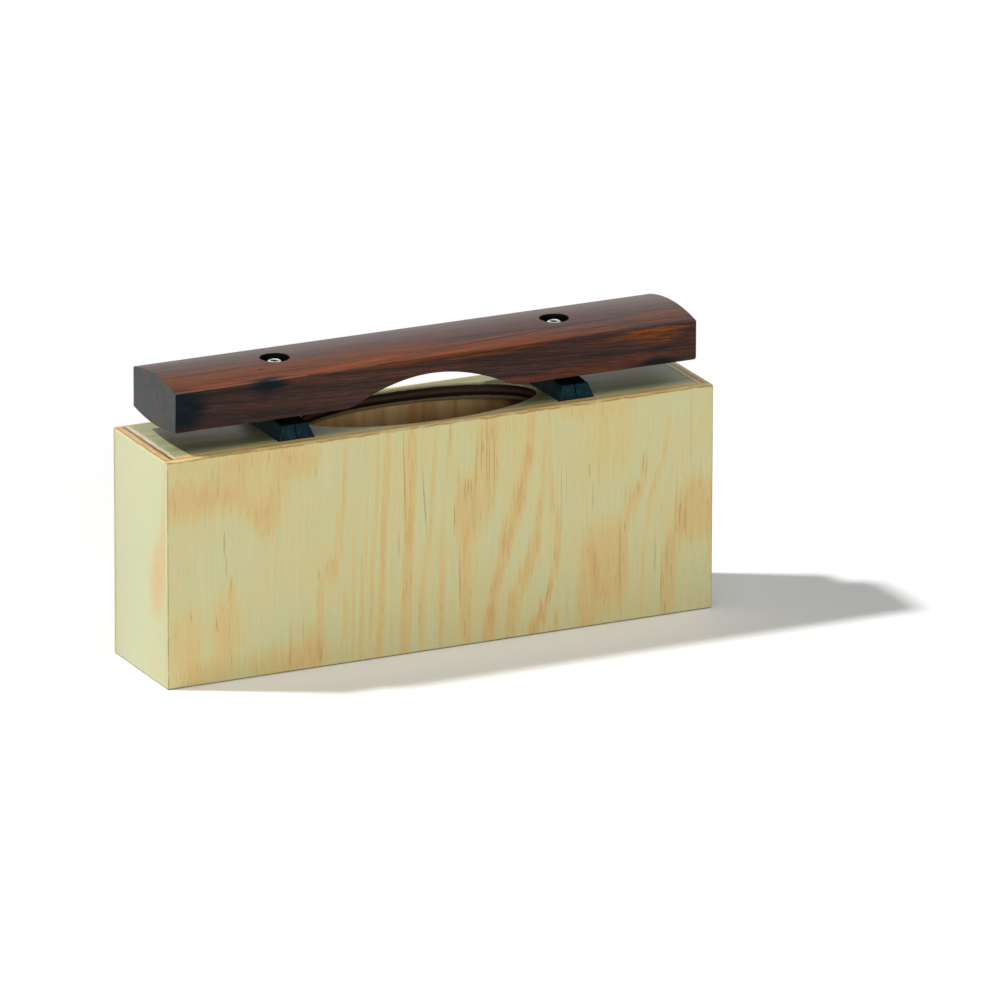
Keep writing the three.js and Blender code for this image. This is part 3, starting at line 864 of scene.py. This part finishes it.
def make_envelope():
    """The whole box as one block with rounded edges, which the walls are cut from."""
    block = start_block("envelope", box_low, box_high)
    leave_edit()

    def radius(first, second):
        if abs(first.z - second.z) > NEAR:
            return UPRIGHT_EDGE_RADIUS
        return TOP_EDGE_RADIUS if first.z > NEAR else BOTTOM_EDGE_RADIUS

    round_edges(block, TOP_EDGE_RADIUS, 6, radius)
    return block


def make_wall(envelope, node, name):
    """The part of the envelope that lies in a wall's place."""
    wall = copy_of(envelope, name)
    low, high = node_box(node)
    edit(wall)
    for axis in range(3):
        outward = Vector((0, 0, 0))
        outward[axis] = 1
        if high[axis] < box_high[axis] - NEAR:
            cut_off(high, outward)
        if low[axis] > box_low[axis] + NEAR:
            cut_off(low, -outward)
    leave_edit()
    ease(wall, JOINT_EASE, angle=60)
    smooth(wall)
    return wall


envelope = make_envelope()
for node, name, finish in (
    ("front_panel", "front_wall", front_pine),
    ("back_panel", "back_wall", back_pine),
    ("left_end_panel", "left_end_wall", left_pine),
    ("right_end_panel", "right_end_wall", right_pine),
):
    settle(make_wall(envelope, node, name), node, "box", finish)
bpy.data.objects.remove(envelope)


def bore(piece, x):
    """Drills a hole for the screw at a place along the box, upright through the piece."""
    heights = [corner.co.z / MM for corner in piece.data.vertices]
    drill = start_round(
        "drill", BORE_RADIUS, min(heights) - OVERRUN, max(heights) + OVERRUN, x, 32
    )
    leave_edit()
    cut_with(piece, drill)


def make_top_board():
    board = start_block("sound_board", board_low, board_high)
    leave_edit()
    ease(board, JOINT_EASE)
    oval = start_round("oval", 1 / MM, board_low.z - OVERRUN, board_high.z + OVERRUN, 0, 160)
    bpy.ops.mesh.select_all(action="SELECT")
    bpy.ops.transform.resize(value=(HOLE_HALF_LENGTH * MM, HOLE_HALF_WIDTH * MM, 1))
    bpy.ops.transform.translate(value=(HOLE_CENTRE_X * MM, 0, 0))
    leave_edit()
    cut_with(board, oval)
    edit(board)

    def on_rim(middle, edge):
        x = (middle.x - HOLE_CENTRE_X) / HOLE_HALF_LENGTH
        y = middle.y / HOLE_HALF_WIDTH
        level = abs(edge.verts[0].co.z - edge.verts[1].co.z) < HAIR * MM
        return level and abs(math.hypot(x, y) - 1) < HAIR

    pick("EDGE", on_rim)
    bpy.ops.mesh.bevel(offset=HOLE_ARRIS * MM, segments=4, affect="EDGES")
    leave_edit()
    for side in (-1, 1):
        bore(board, side * POST_X)
    smooth(board)
    return board


settle(make_top_board(), "top_board", "box", board_ply)


def make_bottom():
    bottom = start_block("bottom_board", *node_box("bottom_panel"))
    leave_edit()
    ease(bottom, JOINT_EASE)
    smooth(bottom)
    return bottom


settle(make_bottom(), "bottom_panel", "box", board_ply)


def make_screw_block(node, name):
    low, high = node_box(node)
    block = start_block(name, low, high)
    leave_edit()
    ease(block, BLOCK_ARRIS)
    bore(block, (low.x + high.x) / 2)
    smooth(block)
    return block


for side in ("left", "right"):
    node = side + "_screw_block"
    settle(make_screw_block(node, side + "_block"), node, "box", sawn_spruce)


def bar_top(y):
    return BAR_SIDE_HIGH + (bar_high.z - BAR_SIDE_HIGH) * (1 - (y / BAR_HALF_WIDTH) ** 2)


def bar_underside(x, y):
    """The crowned underside, or the arch where that is higher, with a soft change between."""
    crowned = BAR_SIDE_LOW - (BAR_SIDE_LOW - bar_low.z) * (1 - (y / BAR_HALF_WIDTH) ** 2)
    share = (x - ARCH_CENTRE_X) / ARCH_HALF_SPAN
    arch = BAR_SIDE_LOW + ARCH_DEPTH * (1 - share ** 2)
    apart = arch - crowned
    return crowned + (apart + math.sqrt(apart ** 2 + ARCH_SOFTNESS ** 2)) / 2


def make_bar():
    bar = start_block("rosewood_bar", bar_low, bar_high)
    slice_at([BAR_HALF_WIDTH * (i / CROWN_STEPS - 1) for i in range(1, 2 * CROWN_STEPS)], 1)
    reach = ARCH_HALF_SPAN * ARCH_SHARE
    slice_at([ARCH_CENTRE_X + reach * (i / ARCH_STEPS - 1) for i in range(2 * ARCH_STEPS + 1)], 0)
    leave_edit()
    middle_height = (bar_low.z + bar_high.z) / 2
    for corner in bar.data.vertices:
        x, y, z = corner.co / MM
        inside = abs(x - ARCH_CENTRE_X) < reach + NEAR
        height = bar_top(y) if z > middle_height else bar_underside(x if inside else FAR, y)
        corner.co.z = height * MM

    def radius(first, second):
        middle = (first + second) / 2
        inner = abs(middle.y) < BAR_HALF_WIDTH - HAIR
        along = abs(first.x - second.x) > HAIR
        upright = abs(first.z - second.z) > middle_height - bar_low.z
        if inner and (along or upright):
            return 0
        if along:
            if middle.z > middle_height:
                return BAR_EDGE_RADIUS if middle.y > 0 else FRONT_ARRIS_RADIUS
            if abs(middle.x - ARCH_CENTRE_X) < reach:
                return ARCH_ARRIS
            return BACK_FOOT_RADIUS if middle.y > 0 else BAR_EDGE_RADIUS
        if middle.x < bar_low.x + NEAR:
            return LEFT_END_RADIUS
        return RIGHT_END_RADIUS if middle.x > bar_high.x - NEAR else 0

    round_edges(bar, BACK_FOOT_RADIUS, 4, radius)
    for side in (-1, 1):
        cutter = start_round(
            "cutter", NECK_RADIUS, bar_low.z - OVERRUN, SHOULDER, side * POST_X, 96
        )
        pick_top()
        step_out(HOLE_RADIUS / NECK_RADIUS)
        raise_face(bar_high.z - HOLE_CHAMFER - SHOULDER)
        raise_face(CHAMFER_RISE)
        grow((HOLE_RADIUS + CHAMFER_SPREAD) / HOLE_RADIUS)
        leave_edit()
        cut_with(bar, cutter)
    smooth(bar)
    return bar


settle(make_bar(), "tone_bar", "bar", rosewood)


def make_support():
    low, high = node_box("left_bar_support")
    middle = (low.x + high.x) / 2
    foot = high.y
    shoulder = foot - SUPPORT_INSET
    half = (high.x - low.x) / 2
    support = start_block("support", low, (high.x, high.y, low.z + SUPPORT_EDGE_HEIGHT))
    pick_top()
    grow((half - SUPPORT_INSET) / half, shoulder / foot)
    steps = range(1, 2 * SUPPORT_CROWN_STEPS)
    slice_at([shoulder * (i / SUPPORT_CROWN_STEPS - 1) for i in steps], 1)
    leave_edit()
    for corner in support.data.vertices:
        x, y, z = corner.co / MM
        if z > low.z + SUPPORT_EDGE_HEIGHT / 2:
            rise = SUPPORT_CROWN * max(0.0, 1 - (y / shoulder) ** 2)
            lean = rise * SUPPORT_INSET / SUPPORT_EDGE_HEIGHT
            corner.co.z += rise * MM
            corner.co.x += math.copysign(lean, middle - x) * MM

    def radius(first, second):
        if abs(first.y - second.y) < HAIR and abs(first.y) < shoulder - HAIR:
            return 0
        return SUPPORT_ARRIS if max(first.z, second.z) > low.z + NEAR else SUPPORT_FOOT_ARRIS

    round_edges(support, SUPPORT_ARRIS, 3, radius)
    for side in (-1, 1):
        near, far = sorted((side * (foot - SLIT_LENGTH), side * (foot + OVERRUN)))
        slit = start_block(
            "slit", (middle - SLIT_HALF_WIDTH, near, low.z - OVERRUN),
            (middle + SLIT_HALF_WIDTH, far, high.z + OVERRUN),
        )
        leave_edit()
        cut_with(support, slit)
    bore(support, middle)
    smooth(support, 28)
    return support


def make_bush():
    low, high = node_box("left_bar_bush")
    x = (low.x + high.x) / 2
    bush = start_round("bush", NECK_RADIUS - BUSH_PLAY, low.z, high.z - BUSH_COLLAR, x)
    pick_top()
    step_out((HOLE_RADIUS - BUSH_PLAY) / (NECK_RADIUS - BUSH_PLAY))
    raise_face(BUSH_COLLAR)
    leave_edit()
    ease(bush, BUSH_ARRIS, 3)
    bore(bush, x)
    smooth(bush)
    return bush


def make_screw():
    x = (screw_low.x + screw_high.x) / 2
    head_low, rim = screw_high.z - HEAD_HEIGHT, screw_high.z - DOME_HEIGHT
    screw = start_round("screw", HEAD_RADIUS, head_low, rim, x)
    pick_top()
    # The dome is a quarter of a flat oval from the rim to the middle.
    angles = [math.pi / 2 * step / DOME_STEPS for step in range(DOME_STEPS)]
    for before, angle in zip(angles, angles[1:]):
        raise_face(DOME_HEIGHT * (math.sin(angle) - math.sin(before)))
        grow(math.cos(angle) / math.cos(before))
    pick_foot()
    bpy.ops.mesh.inset(thickness=(HEAD_RADIUS - SHANK_RADIUS) * MM)
    raise_face(screw_low.z + TIP_LENGTH - head_low)
    raise_face(-TIP_LENGTH)
    grow(TIP_SHARE)
    leave_edit()
    top = screw_high.z + TAPER_TOP
    dish = start_round("dish", DISH_RADIUS, screw_high.z - DISH_DEPTH, top, x, 48)
    pick_foot()
    grow(DISH_FLOOR_SHARE)
    leave_edit()
    cut_with(screw, dish)
    arms = (RECESS_REACH, RECESS_HALF_WIDTH)
    for length, width in (arms, arms[::-1]):
        arm = start_block(
            "arm", (x - length, -width, screw_high.z - RECESS_DEPTH), (x + length, width, top)
        )
        pick_foot()
        grow(RECESS_FLOOR_SHARE)
        leave_edit()
        cut_with(screw, arm)
    smooth(screw, 40)
    return screw


makers = {
    "support": (make_support, "bar_support", "black_rubber", moulded_rubber),
    "bush": (make_bush, "bar_bush", "black_rubber", moulded_rubber),
    "screw": (make_screw, "bar_screw", "screw_steel", plated_steel),
}
for word, (make, node, slot, finish) in makers.items():
    left = make()
    left.name = "left_" + word
    right = moved(copy_of(left, "right_" + word), 2 * POST_X)
    settle(left, "left_" + node, "box", finish)
    settle(right, "right_" + node, "box", finish)


def floor_material():
    """A white sweep: pure white to the camera where it is lit, and it keeps the shadows."""
    made, tree = new_material("white paper sweep")
    path = add(tree, "LightPath")
    tone = add(
        tree, "MixRGB", [path.outputs["Is Camera Ray"], (0.7, 0.7, 0.7, 1), (1.0, 1.0, 1.0, 1)]
    )
    surface(tree, tone, None, 0, roughness=1.0, level=0.0)
    return made


FLOOR_SIZE, FLOOR_Y = 16.0, 2.0  # in metres, so that it fills the view
bpy.ops.mesh.primitive_plane_add(size=FLOOR_SIZE, location=(0, FLOOR_Y, 0))
floor = bpy.context.object
floor.name = "floor"
floor.data.materials.append(floor_material())


def add_sun(name, towards, angle, strength):
    """A distant lamp that shines from the direction given, as wide as its angle in degrees."""
    bpy.ops.object.light_add(type="SUN")
    lamp = bpy.context.object
    lamp.name = name
    lamp.data.angle = math.radians(angle)
    lamp.data.energy = strength
    lamp.rotation_euler = Vector(towards).to_track_quat("Z", "Y").to_euler()


# The key lamp stands high at the left, a little behind, and throws the shadow to the right and
# front. The two broad ones soften it and lift the front.
add_sun("key", (-0.667, 0.367, 1), 4.5, 2.5)
add_sun("overhead", (0, -0.208, 0.978), 34, 0.8)
add_sun("frontal", (-0.22, -0.953, 0.208), 30, 0.93)

world = bpy.data.worlds.new("studio")
bpy.context.scene.world = world
world.use_nodes = True
sky = world.node_tree
sky.nodes.clear()
path = add(sky, "LightPath")
seen = add(
    sky, "Math", [path.outputs["Is Camera Ray"], path.outputs["Is Glossy Ray"]],
    operation="MAXIMUM",
)
seen = add(sky, "Math", [seen, path.outputs["Is Transmission Ray"]], operation="MAXIMUM")
strength = add(sky, "MapRange", {"Value": seen, "To Min": 0.09, "To Max": 1.0})
background = add(sky, "Background", {"Color": (1, 1, 1, 1), "Strength": strength})
add(sky, "OutputWorld", {"Surface": background})

# The camera stands far off with a long lens, as the nearly parallel edges ask.
AZIMUTH, ELEVATION, ROLL = (math.radians(angle) for angle in (25.883, 18.0228, 0.171))
DISTANCE = 5430.2
TARGET = Vector((37.316, -0.835, 49.699))

backward = Vector((
    -math.sin(AZIMUTH) * math.cos(ELEVATION), -math.cos(AZIMUTH) * math.cos(ELEVATION),
    math.sin(ELEVATION),
))
level = Vector((0, 0, 1)).cross(backward).normalized()
upward = backward.cross(level)
rightward = level * math.cos(ROLL) + upward * math.sin(ROLL)
upward = backward.cross(rightward)
bpy.ops.object.camera_add()
camera = bpy.context.object
camera.matrix_world = Matrix.Translation((TARGET + backward * DISTANCE) * MM) @ Matrix(
    (rightward, upward, backward)
).transposed().to_4x4()
camera.data.sensor_width = 36
camera.data.lens = 489.57
camera.data.clip_start = 0.01
camera.data.clip_end = 100
bpy.context.scene.camera = camera
bpy.context.scene.view_settings.view_transform = "Standard"
